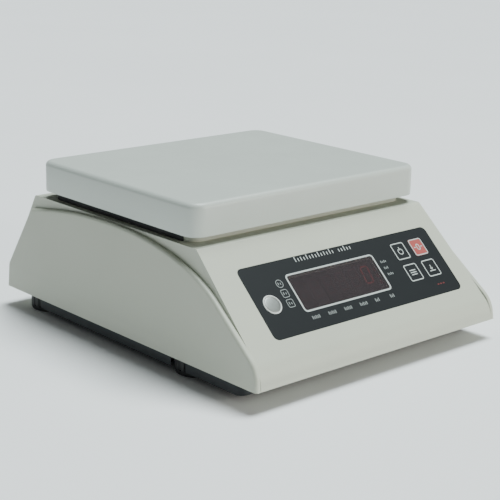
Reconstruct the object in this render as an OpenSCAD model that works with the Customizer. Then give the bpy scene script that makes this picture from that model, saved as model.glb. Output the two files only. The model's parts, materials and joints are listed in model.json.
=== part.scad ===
// Bench counting scale: a wedge housing between two arched side cheeks on a black base tray,
// a lift-off weighing pan on a single-point load cell, a display and key panel on the front
// slope, and four screw-adjusted feet.
// Frame: +X right, +Y back, +Z up. The origin is on the table, under the middle of the footprint.

/* [Housing] */
// Width over the two side cheeks
overall_w = 250; // [246:1:256]
// Depth from the front lip to the back wall
overall_d = 305; // [303:1:308]
// Width of the wedge body at its bottom, between the cheeks
body_w = 241; // [240:0.2:243]
// Inward lean of the body's sides and the cheeks, in degrees
side_draft = 4; // [3.5:0.1:4.5]
// Height of the housing's flat top above the table
top_z = 95; // [94:0.5:96]
// Height of the housing's bottom edge above the table
rim_z = 15; // [15:0.5:16]
// Wall of the plastic shells
wall = 2.5; // [2:0.1:2.8]
// Tilt of the front slope from the horizontal, in degrees
slope_angle = 42.9; // [42:0.1:44]
// Y of the edge where the slope meets the flat top
slope_top_y = -77.5; // [-79:0.5:-76]
// Tilt of the front lip from the horizontal, in degrees
lip_angle = 82; // [80:1:84]
// Radius between the slope and the lip
lip_r = 22; // [18:1:24]

/* [Weighing pan] */
// Width of the pan
pan_w = 230; // [228:1:230]
// Depth of the pan
pan_d = 190; // [186:1:192]
// Height of the pan's top face above the table
pan_top_z = 125; // [125:0.5:127]
// Height of the pan's skirt
pan_h = 24; // [23:0.5:25]
// Corner radius of the pan seen from above
pan_corner_r = 12; // [10:1:16]
// Radius of the pan's top edge
pan_edge_r = 4; // [3:0.5:5]
// Y of the pan's middle
pan_y = 20.5; // [20:0.5:21]
// How far the housing's raised plateau is inset from the pan at the sides
plateau_inset_x = 7; // [6.5:0.5:8]
// How far it is inset at the front and back
plateau_inset_y = 10.3; // [9:0.1:11]
// Height of the plateau above the flat top
plateau_h = 11; // [9:0.5:11]

/* [Panel] */
// Width of the charcoal panel overlay
label_w = 195.8; // [190:0.2:197]
// Length of the overlay down the slope
label_h = 58.6; // [57:0.2:60]
// X of the overlay's middle
label_x = 4.7; // [4:0.1:5]
// Distance from the slope's top edge to the overlay
label_s = 22; // [21:0.5:23]
// Width of a key
key_w = 14.3; // [13:0.1:14.6]
// Length of a key down the slope
key_h = 15; // [14:0.1:15.4]
// Travel of a key
key_travel = 0.3; // [0.2:0.05:0.35]

/* [Base and feet] */
// Width of the black base tray
tray_w = 240; // [238:1:240]
// Y of the tray's front edge
tray_front = -132; // [-134:1:-130]
// Y of the tray's back edge
tray_back = 140; // [138:1:142]
// Height of the tray's underside above the table
tray_z = 5; // [4.5:0.5:5]
// Diameter of a foot
foot_d = 30; // [28:1:31]
// X of the feet on each side
foot_x = 104; // [103:0.5:105]
// Y of the front feet
foot_front_y = -65; // [-67:1:-63]
// Y of the back feet
foot_back_y = 121.5; // [120:0.5:122]

/* [Hidden] */

$fn = 48;
eps = 0.01;

half_d = overall_d / 2;
half_body = body_w / 2;
cheek_t = (overall_w - body_w) / 2;
cheek_edge_r = 2.4;
top_edge_r = 3;

// Back of the housing: an upright strip below a leaning face
back_kink_z = 33.6;
top_back_y = 123;
back_angle = atan2(top_z - back_kink_z, half_d - top_back_y);

// Arch of the cheeks: a shallow line above the front lip, a long curve up to the highest point,
// and a shallow bow behind it
arch_y = 20;
arch_top = top_z - 0.5;
arch_foot = [-104, 65.8];
arch_foot_angle = 37.5;
arch_foot_pull = 31;
arch_top_pull = 50;
arch_back_y = 118;
arch_back_drop = 9.4;
arch_back_power = 2.1;
arch_back_slope = -11.4;
cheek_back_y = 123;
cheek_back_z = 84.6;
cheek_back_angle = atan2(cheek_back_z - back_kink_z, half_d - cheek_back_y);

plateau_w = pan_w - 2 * plateau_inset_x;
plateau_d = pan_d - 2 * plateau_inset_y;
plateau_z = top_z + plateau_h;
plateau_r = 9;
collar_t = 1.2;

// Inward flange at the bottom of the housing, which seals on the tray's rim
flange_x = 100;
flange_front = -118;
flange_back = 127.5;
gasket_t = 1;
tray_top = rim_z - gasket_t;
floor_z = tray_z + wall;
rim_w = 10;
tray_front_r = 6;
tray_back_r = 34;
gasket_w = 2.4;

well_r = 18;
well_top = tray_top - wall;
insert_top = 26;
insert_r = 5.5;
insert_bore_r = 4;
stud_r = 3.95;
feet = [for (y = [foot_front_y, foot_back_y]) for (x = [-foot_x, foot_x]) [x, y]];

// Screws through the tray into the housing's flange
body_screws = [[-105.5, -105], [105.5, -105], [-105.5, 30], [105.5, 30], [-64, 132], [64, 132]];
boss_r = 4.6;
pilot_r = 1.6;
clear_r = 2.1;
head_r = 3.6;

// Battery hatch in the tray's floor
hatch_w = 116;
hatch_y0 = 47;
hatch_y1 = 133;
hatch_ledge = 6;
hatch_t = 1.5;
hatch_screws = [for (y = [hatch_y0 + 3, hatch_y1 - 3]) for (x = [-55, 55]) [x, y]];
battery_size = [101, 70, 47];
battery_y = 55;
battery_z = floor_z;

// Load cell and the frame under it
cell_l = 130;
cell_w = 30;
cell_h = 22;
cell_z = 50;
cell_top = cell_z + cell_h;
cell_bolt_x = [40, 55];
frame_z = 10.5;
frame_t = 8;
frame_screws = [for (x = [-62, 62]) for (y = [-20.5, 20.5]) [x, pan_y + y]];
stop_x = 50;
stop_gap = 0.6;

// Carrier: post, cross plate and pads
post_x = 47.5;
post_r = 17;
post_hole_r = 19.5;
plate_z = 109;
plate_t = 3;
arm_x = 88;
arm_y = 68;
arms = [for (sx = [-1, 1]) for (sy = [-1, 1]) [sx * arm_x, pan_y + sy * arm_y]];
pan_t = 2.5;
pad_top = pan_top_z - pan_t;

// Layout on the slope: x across, s down from the slope's top edge, n out of its face
overlay_n = 0.1;
overlay_t = 0.6;
window_x = -10.8;
window_s = 50.3;
window_w = 86.4;
window_h = 28.6;
level_x = -79.3;
level_s = 54;
vial_r = 6.3;
key_col = [63.8, 84.1];
key_row = [38, 57.6];
board_n = -10.5;
board_t = 1.6;
board_bosses = [[-84, 30], [95, 30], [-84, 73], [95, 73]];
lamps = concat([for (i = [0:2]) [-63.5, 40 + 9 * i]], [for (i = [0:2]) [39, 43 + 5.5 * i]]);
digit_pitch = 13.2;
digit_x0 = -45;
switch_top_n = -4;
plunger_n = switch_top_n + key_travel + 0.1;

socket_x = 75;
socket_z = 24.5;
pocket_w = 27;
pocket_h = 13;
pocket_y = half_d - 5.5;

ivory = [0.79, 0.80, 0.76];
black = [0.11, 0.11, 0.12];
charcoal = [0.20, 0.21, 0.23];
steel = [0.72, 0.73, 0.75];
metal = [0.66, 0.68, 0.70];
pcb = [0.07, 0.32, 0.17];
rubber = [0.09, 0.09, 0.09];

// ---- outlines; every outline runs clockwise ----
function arc(c, r, a0, a1, n = 6) = [for (i = [0:n])
    let (a = a0 + (a1 - a0) * i / n) c + r * [cos(a), sin(a)]];

// A rounded corner at k, between an edge running in direction a0 and one running in a1
function corner(k, a0, a1, r, n = 6) =
    let (p = k - r * tan((a0 - a1) / 2) * [cos(a0), sin(a0)])
    arc(p + r * [sin(a0), -cos(a0)], r, a0 + 90, a1 + 90, n);

// The outline moved inward by d
function inset(p, d) = let (n = len(p)) [for (i = [0:n - 1])
    let (b = p[i], u = b - p[(i + n - 1) % n], v = p[(i + 1) % n] - b)
    let (nu = [u.y, -u.x] / norm(u), nv = [v.y, -v.x] / norm(v))
    b + d * (nu + nv) / (1 + nu * nv)];

// A rectangle from y0 to y1 with its own corner radii at the front and back
function round_rect(w, y0, y1, rf, rb) = concat(
    arc([-w / 2 + rb, y1 - rb], rb, 180, 90), arc([w / 2 - rb, y1 - rb], rb, 90, 0),
    arc([w / 2 - rf, y0 + rf], rf, 0, -90), arc([-w / 2 + rf, y0 + rf], rf, -90, -180));

function centred_rect(w, d, r) = round_rect(w, -d / 2, d / 2, r, r);

// A strip of thickness t that follows the path p
function strip(p, t) = let (n = len(p) - 1, m = [for (i = [0:n])
        let (u = p[min(i + 1, n)] - p[max(i - 1, 0)]) [-u.y, u.x] / norm(u)])
    concat([for (i = [0:n]) p[i] + m[i] * t / 2], [for (i = [n:-1:0]) p[i] - m[i] * t / 2]);

lip_foot = [-half_d, rim_z];
lip_dir = [cos(lip_angle), sin(lip_angle)];

// Where the front lip, drawn on as a straight line, meets a line through p at the given angle
function lip_corner(p, angle) = let (n = [-sin(angle), cos(angle)])
    lip_foot + lip_dir * ((p - lip_foot) * n) / (lip_dir * n);

// A point of the cubic curve with control points p
function bezier(p, t) = pow(1 - t, 3) * p[0] + 3 * pow(1 - t, 2) * t * p[1]
    + 3 * (1 - t) * t * t * p[2] + pow(t, 3) * p[3];

// Side view of the wedge body, in Y and Z
body_outline = concat([lip_foot],
    corner(lip_corner([slope_top_y, top_z], slope_angle), lip_angle, slope_angle, lip_r, 8),
    corner([slope_top_y, top_z], slope_angle, 0, top_edge_r),
    corner([top_back_y, top_z], 0, -back_angle, top_edge_r),
    corner([half_d, back_kink_z], -back_angle, -90, 8, 4),
    [[half_d, rim_z]]);

arch_dir = [cos(arch_foot_angle), sin(arch_foot_angle)];
arch_curve = [arch_foot, arch_foot + arch_foot_pull * arch_dir,
    [arch_y - arch_top_pull, arch_top], [arch_y, arch_top]];
// Side view of a cheek, in Y and Z, run on below the rim by the given drop
function cheek_outline(drop) = concat([lip_foot - drop * lip_dir],
    corner(lip_corner(arch_foot, arch_foot_angle), lip_angle, arch_foot_angle, lip_r, 8),
    [for (i = [0:14]) bezier(arch_curve, i / 14)],
    [for (i = [1:5]) [arch_y + (arch_back_y - arch_y) * i / 6,
        arch_top - arch_back_drop * pow(i / 6, arch_back_power)]],
    corner([cheek_back_y, cheek_back_z], arch_back_slope, -cheek_back_angle, 6),
    corner([half_d, back_kink_z], -cheek_back_angle, -90, 8, 4),
    [[half_d, rim_z - drop]]);

function tray_outline(d) = round_rect(tray_w - 2 * d, tray_front + d, tray_back - d,
    max(tray_front_r - d, 1), tray_back_r - d);

// ---- helpers ----
module along_x(w) {
    rotate([90, 0, 90]) translate([0, 0, -w / 2]) linear_extrude(w) children();
}

module slab(z0, z1) {
    translate([0, 0, z0]) linear_extrude(z1 - z0) children();
}

module post(x, y, z0, z1, r) {
    translate([x, y, z0]) cylinder(h = z1 - z0, r = r);
}

// The space between the housing's leaning sides, each moved inward by d
module between_sides(d) {
    h = top_z + 20 - rim_z;
    run = h * tan(side_draft);
    translate([0, half_d + 5, rim_z]) rotate([90, 0, 0]) linear_extrude(overall_d + 10)
        polygon([[-half_body + d, 0], [-half_body + d + run, h], [half_body - d - run, h],
            [half_body - d, 0]]);
}

// Children are placed on a leaning side: +Z out of it, X along Y, Y up the side from the rim
module on_side(side) {
    mirror([side < 0 ? 1 : 0, 0, 0]) translate([half_body, 0, rim_z]) rotate([0, -side_draft, 0])
        rotate([90, 0, 90]) translate([0, -rim_z, 0]) children();
}

// Children are placed at x across and s down the slope, with +Z out of its face
module on_slope(x = 0, s = 0, n = 0) {
    translate([0, slope_top_y, top_z]) rotate([slope_angle, 0, 0]) translate([x, -s, n]) children();
}

// A round wire along a path, as one swept solid
module wire(path, r, sides = 8) {
    last = len(path) - 1;
    tangents = [for (i = [0:last]) let (t = path[min(i + 1, last)] - path[max(i - 1, 0)]) t / norm(t)];
    across = [for (t = tangents) let (c = cross(t, [0.31, 0.17, 0.94])) c / norm(c)];
    points = [for (i = [0:last]) for (k = [0:sides - 1])
        let (a = 360 * k / sides)
        path[i] + r * (cos(a) * across[i] + sin(a) * cross(tangents[i], across[i]))];
    sleeve = [for (i = [0:last - 1]) for (k = [0:sides - 1])
        let (a = i * sides, b = a + sides, m = (k + 1) % sides)
        each [[a + k, b + k, b + m], [a + k, b + m, a + m]]];
    ends = [[for (k = [0:sides - 1]) k], [for (k = [sides - 1:-1:0]) last * sides + k]];
    polyhedron(points, concat(sleeve, ends), convexity = 6);
}

// A pan-head screw standing head down at the origin, its shank going up
module screw(head_r, head_h, shank_r, length) {
    cylinder(h = head_h, r = head_r);
    cylinder(h = head_h + length, r = shank_r);
}

// ---- housing ----
module housing_solid() {
    intersection() {
        along_x(body_w) polygon(body_outline);
        between_sides(0);
    }
    slab(top_z - 1, plateau_z) plateau_outline(0);
}

module plateau_outline(d) {
    translate([0, pan_y]) polygon(centred_rect(plateau_w - 2 * d, plateau_d - 2 * d, plateau_r - d));
}

module housing_cavity() {
    intersection() {
        along_x(body_w) polygon(inset(body_outline, wall));
        between_sides(wall);
    }
    slab(top_z - wall - 1, plateau_z - wall) plateau_outline(wall);
    slab(rim_z - 1, rim_z + wall + 1)
        polygon(round_rect(2 * flange_x, flange_front, flange_back, 4, 10));
    for (f = feet) post(f.x, f.y, rim_z - 1, rim_z + wall + 1, 8);
}

module panel_cuts() {
    on_slope(label_x, label_s + label_h / 2, overlay_n - overlay_t)
        linear_extrude(2) polygon(centred_rect(label_w + 0.3, label_h + 0.3, 4.6));
    on_slope(window_x, window_s, -2) linear_extrude(2)
        polygon(centred_rect(window_w + 2.6, window_h + 2.6, 2));
    on_slope(window_x, window_s, -wall - 1) linear_extrude(2)
        polygon(centred_rect(window_w - 2.4, window_h - 2.4, 1));
    on_slope(level_x, level_s, -wall - 1) cylinder(h = wall + 2, r = vial_r + 0.1);
    for (x = key_col) for (s = key_row) {
        on_slope(x, s, -1.2) linear_extrude(2) polygon(centred_rect(key_w + 0.8, key_h + 0.8, 1));
        on_slope(x, s, -wall - 1) cylinder(h = wall + 1, r = 4);
    }
    for (p = lamps) on_slope(p.x, p.y, -wall - 1) cylinder(h = wall + 1, r = 1.7);
}

module housing_bosses() {
    for (p = body_screws) post(p.x, p.y, rim_z + wall - 0.5, 27, boss_r);
    for (p = board_bosses) on_slope(p.x, p.y, board_n) cylinder(h = -board_n - wall + 0.5, r = 3.4);
    translate([post_x, pan_y, plateau_z - 0.5]) difference() {
        cylinder(h = 2, r = post_hole_r + 4.5);
        translate([0, 0, -1]) cylinder(h = 4, r = post_hole_r + 2.5);
    }
    translate([socket_x - pocket_w / 2 - wall, pocket_y - wall, rim_z + 0.5])
        cube([pocket_w + 2 * wall, half_d - pocket_y + wall - 0.5, pocket_h + 2 * wall]);
}

module upper_housing() {
    color(ivory) difference() {
        union() {
            difference() {
                housing_solid();
                housing_cavity();
                panel_cuts();
            }
            housing_bosses();
        }
        post(post_x, pan_y, plateau_z - wall - 1, plateau_z + 1, post_hole_r);
        for (p = body_screws) post(p.x, p.y, rim_z - 1, 25, pilot_r);
        for (p = board_bosses) on_slope(p.x, p.y, board_n - 1) cylinder(h = 6, r = 1.2);
        translate([socket_x - pocket_w / 2, pocket_y, socket_z - pocket_h / 2])
            cube([pocket_w, 10, pocket_h]);
        translate([socket_x, pocket_y - wall - 1, socket_z]) rotate([-90, 0, 0])
            cylinder(h = wall + 2, r = 4.5);
        for (side = [-1, 1]) on_side(side) for (p = cheek_bores)
            translate([p.x, p.y, -wall - 2]) cylinder(h = wall + 3, r = clear_r);
    }
}

// Screws from inside the housing into the cheeks, in Y and Z
cheek_bores = [[-118, 36], [-50, 72], [60, 76], [132, 36], [0, 28]];
cheek_bore_depth = 3.4;

// The cheek's rounded outer edge as steps: distance out from the body, and inset from there on
cheek_steps = concat([[0, 0]], [for (a = [22.5:22.5:67.5])
    [cheek_t - cheek_edge_r * (1 - sin(a - 11)), cheek_edge_r * (1 - cos(a))]], [[cheek_t, 0]]);

// A shallow shell on the housing's leaning side, cut level along its bottom
module cheek(side) {
    difference() {
        on_side(side) {
            difference() {
                for (i = [0:len(cheek_steps) - 2]) {
                    n0 = i == 0 ? 0.01 : cheek_steps[i][0] - 0.8;
                    translate([0, 0, n0]) linear_extrude(cheek_steps[i + 1][0] - n0)
                        polygon(inset(cheek_outline(4), cheek_steps[i][1]));
                }
                translate([0, 0, -1]) linear_extrude(cheek_t - wall + 1)
                    polygon(inset(cheek_outline(1), wall + 1));
            }
            for (p = cheek_bores) translate([p.x, p.y, 0.01]) cylinder(h = cheek_t - 1, r = boss_r);
        }
        on_side(side) for (p = cheek_bores)
            translate([p.x, p.y, -1]) cylinder(h = cheek_bore_depth + 1, r = pilot_r);
        slab(rim_z - 5, rim_z) square(2 * overall_d, center = true);
    }
}

module left_cheek() {
    color(ivory) cheek(-1);
}

module right_cheek() {
    color(ivory) cheek(1);
}

module cheek_screws() {
    color(steel) for (side = [-1, 1]) on_side(side) for (p = cheek_bores)
        translate([p.x, p.y, -wall - 2.2]) screw(head_r, 2.2, pilot_r, wall + cheek_bore_depth - 0.2);
}

// ---- base ----
module tray_solid() {
    difference() {
        slab(tray_z, tray_top) polygon(tray_outline(0));
        slab(floor_z, tray_top - wall) polygon(tray_outline(wall));
        slab(tray_top - wall - 1, tray_top + 1) polygon(tray_outline(rim_w));
    }
    intersection() {
        slab(tray_z, tray_top) polygon(tray_outline(0));
        for (f = feet) post(f.x, f.y, tray_z, tray_top, well_r + wall);
    }
    for (f = feet) post(f.x, f.y, tray_top - 1, insert_top, insert_r + 1.5);
    for (p = body_screws) post(p.x, p.y, tray_z, tray_top, boss_r);
    for (p = hatch_screws) post(p.x, p.y, tray_z + hatch_t, 13, 3.4);
    for (p = frame_screws) post(p.x, p.y, tray_z, frame_z, 6);
}

module base_tray() {
    color(black) difference() {
        tray_solid();
        for (f = feet) {
            post(f.x, f.y, tray_z - 1, well_top, well_r);
            post(f.x, f.y, well_top - 1, insert_top + 1, insert_r);
        }
        slab(tray_z - 1, tray_z + hatch_t) polygon(round_rect(hatch_w, hatch_y0, hatch_y1, 3, 3));
        slab(tray_z - 1, floor_z + 1) polygon(round_rect(hatch_w - 2 * hatch_ledge,
            hatch_y0 + hatch_ledge, hatch_y1 - hatch_ledge, 2, 2));
        for (p = body_screws) {
            post(p.x, p.y, tray_z - 1, tray_top + 1, clear_r);
            post(p.x, p.y, tray_z - 1, tray_z + 3.5, head_r + 0.4);
        }
        for (p = hatch_screws) post(p.x, p.y, tray_z - 1, 12, 1.2);
        for (p = frame_screws) post(p.x, p.y, tray_z + 1.2, frame_z + 1, 2);
    }
}

module housing_gasket() {
    color(rubber) difference() {
        slab(tray_top, rim_z) polygon(tray_outline(0.5));
        slab(tray_top - 1, rim_z + 1) polygon(tray_outline(0.5 + gasket_w));
    }
}

module housing_screws() {
    color(steel) for (p = body_screws) translate([p.x, p.y, tray_z + 1]) screw(head_r, 2.5, pilot_r, 14);
}

module battery_cover() {
    color(black) difference() {
        union() {
            slab(tray_z - 0.1, tray_z + hatch_t)
                polygon(round_rect(hatch_w - 0.6, hatch_y0 + 0.3, hatch_y1 - 0.3, 2.7, 2.7));
            slab(tray_z + hatch_t - eps, floor_z)
                polygon(round_rect(hatch_w - 2 * hatch_ledge - 0.6, hatch_y0 + hatch_ledge + 0.3,
                    hatch_y1 - hatch_ledge - 0.3, 2, 2));
        }
        for (i = [-2:2]) translate([i * 8 - 1, 62, tray_z - 1]) cube([2, 56, 1.6]);
        for (p = hatch_screws) post(p.x, p.y, tray_z - 1, tray_z + 2, 1.7);
    }
}

module battery_cover_screws() {
    color(steel) for (p = hatch_screws) translate([p.x, p.y, tray_z - 1.6]) screw(2.6, 1.5, 1.2, 6.5);
}

module foot_inserts() {
    color([0.72, 0.58, 0.28]) for (f = feet) difference() {
        post(f.x, f.y, well_top, insert_top, insert_r);
        post(f.x, f.y, well_top - 1, insert_top + 1, insert_bore_r);
    }
}

// ---- feet ----
sole_top = 4;
knob_top = well_top - 0.1;
spigot_r = 5;
stud_top = 34;

module foot_sole(p) {
    color(rubber) difference() {
        translate([p.x, p.y, 0]) rotate_extrude() polygon([[0, 0], [foot_d / 2 - 1.8, 0],
            [foot_d / 2 - 0.5, 0.7], [foot_d / 2, 2], [foot_d / 2, sole_top], [0, sole_top]]);
        post(p.x, p.y, 1, sole_top + 1, spigot_r);
    }
}

module foot_knob(p) {
    color(black) difference() {
        union() {
            post(p.x, p.y, sole_top + 0.02, knob_top, foot_d / 2);
            post(p.x, p.y, 1.1, knob_top, spigot_r - 0.05);
        }
        for (a = [0:22.5:359]) translate([p.x, p.y, 0]) rotate(a)
            translate([foot_d / 2 + 0.7, 0, sole_top - 1]) cylinder(h = 12, r = 1.7);
        post(p.x, p.y, sole_top + 1, knob_top + 1, stud_r + eps);
    }
}

module foot_stud(p) {
    color(steel) difference() {
        post(p.x, p.y, sole_top + 1, stud_top, stud_r);
        translate([p.x - 5, p.y - 0.6, stud_top - 1.5]) cube([10, 1.2, 3]);
    }
}

// ---- weighing mechanism ----
module cell_frame() {
    color(metal) difference() {
        union() {
            translate([-72, pan_y - 26, frame_z]) cube([144, 52, frame_t]);
            translate([-70, pan_y - 15, frame_z]) cube([42, 30, cell_z - frame_z]);
            post(stop_x, pan_y, frame_z, 41, 8);
        }
        for (x = cell_bolt_x) {
            post(-x, pan_y, frame_z - 1, cell_z + 1, 3.2);
            post(-x, pan_y, frame_z - 1, 36, 5.6);
        }
        for (p = frame_screws) post(p.x, p.y, frame_z - 1, frame_z + frame_t + 1, 2.2);
        post(stop_x, pan_y, 25, 42, 3);
        for (x = [-12, 22]) post(x, pan_y, frame_z - 1, frame_z + frame_t + 1, 13);
    }
}

module cell_frame_screws() {
    color(steel) for (p = frame_screws) translate([p.x, p.y, frame_z + frame_t + 3])
        rotate([180, 0, 0]) screw(4, 3, 2, 11);
}

module load_cell() {
    color(metal) difference() {
        translate([-cell_l / 2, pan_y - cell_w / 2, cell_z]) cube([cell_l, cell_w, cell_h]);
        for (x = [-12, 12]) translate([x, pan_y + cell_w, cell_z + cell_h / 2]) rotate([90, 0, 0])
            cylinder(h = 2 * cell_w, r = 8.5);
        translate([-12, pan_y - cell_w, cell_z + cell_h / 2 - 3]) cube([24, 2 * cell_w, 6]);
        for (x = cell_bolt_x) {
            post(-x, pan_y, cell_z - 1, cell_z + 14, 3.05);
            post(x, pan_y, cell_top - 16, cell_top + 1, 3.05);
        }
    }
}

module load_cell_bolts() {
    color(steel) for (x = cell_bolt_x) translate([-x, pan_y, 30]) screw(5, 6, 3, 26);
}

module overload_stop() {
    color(steel) difference() {
        union() {
            post(stop_x, pan_y, 26, cell_z - stop_gap, 3);
            translate([stop_x, pan_y, 41]) cylinder(h = 5, r = 5.8, $fn = 6);
        }
        post(stop_x, pan_y, 25, 29, 1.5);
    }
}

module load_cell_cable() {
    color([0.35, 0.36, 0.38]) wire([[-65.4, 20, 63], [-72, 20, 62], [-79, 17, 56], [-82, 8, 44],
        [-80, -6, 32], [-73, -18, 24], [-62, -29, 20.5], [-57, -36, 19], [-51, -38, 18.4]], 2);
}

module carrier_post() {
    color(metal) difference() {
        post(post_x, pan_y, cell_top, plate_z, post_r);
        for (x = cell_bolt_x) post(x, pan_y, cell_top - 1, plate_z + 1, 3.2);
    }
}

module carrier_plate() {
    color(steel) difference() {
        slab(plate_z, plate_z + plate_t) {
            translate([-34, pan_y - 34]) square([108, 68]);
            for (a = [-1, 1]) translate([0, pan_y]) rotate(a * atan2(arm_y, arm_x))
                square([2 * norm([arm_x, arm_y]), 24], center = true);
            for (p = arms) translate(p) circle(r = 12);
        }
        for (x = cell_bolt_x) {
            post(x, pan_y, plate_z - 1, plate_z + plate_t + 1, 3.2);
            post(x, pan_y, plate_z + 1.2, plate_z + plate_t + 1, 5.8);
        }
        for (p = arms) post(p.x, p.y, plate_z - 1, plate_z + plate_t + 1, 3);
        post(-8, pan_y, plate_z - 1, plate_z + plate_t + 1, 14);
    }
}

module carrier_bolts() {
    color(steel) for (x = cell_bolt_x) {
        post(x, pan_y, cell_top - 12, plate_z + 2, 3);
        post(x, pan_y, plate_z + 1.2, plate_z + plate_t + 1.4, 5.5);
    }
}

module pan_pads() {
    color(rubber) for (p = arms) {
        post(p.x, p.y, plate_z + plate_t, pad_top, 9);
        post(p.x, p.y, plate_z - 0.5, plate_z + plate_t + 1, 2.95);
        post(p.x, p.y, plate_z - 2.2, plate_z, 4.4);
    }
}

module post_seal() {
    color(rubber) difference() {
        union() {
            post(post_x, pan_y, plateau_z - wall - 1, plateau_z + 1.2, post_hole_r);
            post(post_x, pan_y, plateau_z, plateau_z + 1.2, post_hole_r + 2.3);
            post(post_x, pan_y, plateau_z - wall - 1.5, plateau_z - wall, post_hole_r + 2.3);
        }
        post(post_x, pan_y, plateau_z - 6, plateau_z + 3, post_r + 0.35);
    }
}

// Inverted tray with rounded corners and a rounded top edge
module pan_form(w, d, r, edge, z0, z1) {
    hull() for (sx = [-1, 1]) for (sy = [-1, 1])
        translate([sx * (w / 2 - r), pan_y + sy * (d / 2 - r), z0]) rotate_extrude($fn = 32)
        polygon(concat([[0, z1 - z0]], arc([r - edge, z1 - z0 - edge], edge, 90, 0, 5), [[r, 0], [0, 0]]));
}

// Rubber collar round the sides and back of the plateau, below the pan's skirt, open at the front
module splash_collar() {
    color(rubber) difference() {
        slab(top_z + 0.02, plateau_z - 1) plateau_outline(-collar_t);
        slab(top_z - 1, plateau_z) plateau_outline(-0.02);
        translate([0, pan_y - plateau_d / 2, 0]) slab(top_z - 1, plateau_z)
            square([body_w, 2 * plateau_r], center = true);
    }
}

module weighing_pan() {
    bottom = pan_top_z - pan_h;
    color(ivory) {
        difference() {
            pan_form(pan_w, pan_d, pan_corner_r, pan_edge_r, bottom, pan_top_z);
            pan_form(pan_w - 2 * pan_t, pan_d - 2 * pan_t, pan_corner_r - pan_t, 2, bottom - 1,
                pan_top_z - pan_t);
        }
        for (p = arms) difference() {
            post(p.x, p.y, pad_top - 5.5, pad_top + 0.5, 12);
            post(p.x, p.y, pad_top - 6.5, pad_top + 1, 9.8);
        }
    }
}

// ---- panel ----
module panel_overlay() {
    color(charcoal) difference() {
        on_slope(label_x, label_s + label_h / 2, overlay_n - overlay_t)
            linear_extrude(overlay_t) polygon(centred_rect(label_w, label_h, 4.5));
        on_slope(window_x, window_s, -2) linear_extrude(4)
            polygon(centred_rect(window_w + 0.2, window_h + 0.2, 1.6));
        on_slope(level_x, level_s, -2) cylinder(h = 4, r = vial_r + 0.1);
        for (x = key_col) for (s = key_row) on_slope(x, s, -2) linear_extrude(4)
            polygon(centred_rect(key_w + 0.3, key_h + 0.3, 2));
    }
}

module display_window() {
    color([0.25, 0.1, 0.1]) {
        on_slope(window_x, window_s, -2) linear_extrude(1.4)
            polygon(centred_rect(window_w + 2.2, window_h + 2.2, 1.8));
        on_slope(window_x, window_s, -0.7) linear_extrude(0.8)
            polygon(centred_rect(window_w, window_h, 1.5));
    }
}

module display_board() {
    color(pcb) difference() {
        on_slope(5.5, 51.5, board_n - board_t) linear_extrude(board_t)
            polygon(centred_rect(188, 52, 1.5));
        for (p = board_bosses) on_slope(p.x, p.y, board_n - 3) cylinder(h = 5, r = 1.6);
    }
}

module led_digits() {
    color([0.12, 0.12, 0.12]) for (i = [0:5]) on_slope(digit_x0 + digit_pitch * i, window_s, board_n)
        linear_extrude(7.3) square([12.6, 24], center = true);
}

module indicator_leds() {
    color([0.8, 0.2, 0.15]) for (p = lamps) on_slope(p.x, p.y, board_n) {
        cylinder(h = 8.4, r = 1.5);
        cylinder(h = 1, r = 1.9);
    }
}

module key_switches() {
    color([0.2, 0.2, 0.2]) for (x = key_col) for (s = key_row) on_slope(x, s, board_n) {
        linear_extrude(-board_n + switch_top_n - 1) square(6, center = true);
        cylinder(h = -board_n + switch_top_n, r = 1.75);
    }
}

module display_board_screws() {
    color(steel) for (p = board_bosses) on_slope(p.x, p.y, board_n - board_t - 2)
        screw(2.7, 2, 1.2, 6);
}

module level_ring() {
    color([0.9, 0.9, 0.88]) on_slope(level_x, level_s, overlay_n) difference() {
        cylinder(h = 0.6, r = 8);
        translate([0, 0, -1]) cylinder(h = 3, r = vial_r + 0.1);
    }
}

module level_vial() {
    color([0.75, 0.78, 0.75]) on_slope(level_x, level_s, -9) {
        cylinder(h = 9.2, r = vial_r);
        cylinder(h = 5.5, r = vial_r + 1.5);
    }
}

module key(col, row) {
    on_slope(key_col[col], key_row[row], -0.6) linear_extrude(0.8)
        polygon(centred_rect(key_w, key_h, 1.9));
    on_slope(key_col[col], key_row[row], plunger_n) cylinder(h = -plunger_n - 0.5, r = 3);
}

module key_off() {
    color(charcoal) key(0, 0);
}

module key_on_zero() {
    color([0.75, 0.38, 0.36]) key(1, 0);
}

module key_set() {
    color(charcoal) key(0, 1);
}

module key_tare() {
    color(charcoal) key(1, 1);
}

// ---- electronics ----
board_z = 14.5;
board_corners = [for (x = [-50, 50]) for (y = [-90, -30]) [x, y]];

module main_board() {
    color(pcb) difference() {
        slab(board_z, board_z + board_t) polygon(round_rect(110, -95, -25, 2, 2));
        for (p = board_corners) post(p.x, p.y, board_z - 1, board_z + 3, 1.7);
    }
}

module board_components() {
    color([0.15, 0.15, 0.16]) translate([0, 0, board_z + board_t]) {
        translate([-12, -92, 0]) cube([24, 7, 5]);
        translate([-30, -75, 0]) cube([16, 16, 1.6]);
        translate([2, -78, 0]) cube([9, 9, 1.4]);
        translate([-50, -42, 0]) cube([12, 8, 3.4]);
        translate([38, -50, 0]) cube([12, 8, 7]);
        translate([22, -82, 0]) cube([18, 14, 12]);
        for (y = [-66, -54]) translate([24, y, 0]) cylinder(h = 11, r = 4.5);
        translate([-38, -52, 0]) cylinder(h = 7, r = 6);
    }
}

module board_spacers() {
    color([0.85, 0.85, 0.82]) for (p = board_corners) difference() {
        translate([p.x, p.y, floor_z]) cylinder(h = board_z - floor_z, r = 3.6, $fn = 6);
        post(p.x, p.y, floor_z + 1, board_z + 1, 1.5);
    }
}

module board_screws() {
    color(steel) for (p = board_corners) translate([p.x, p.y, board_z + board_t + 2])
        rotate([180, 0, 0]) screw(2.9, 2, 1.5, 6);
}

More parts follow.
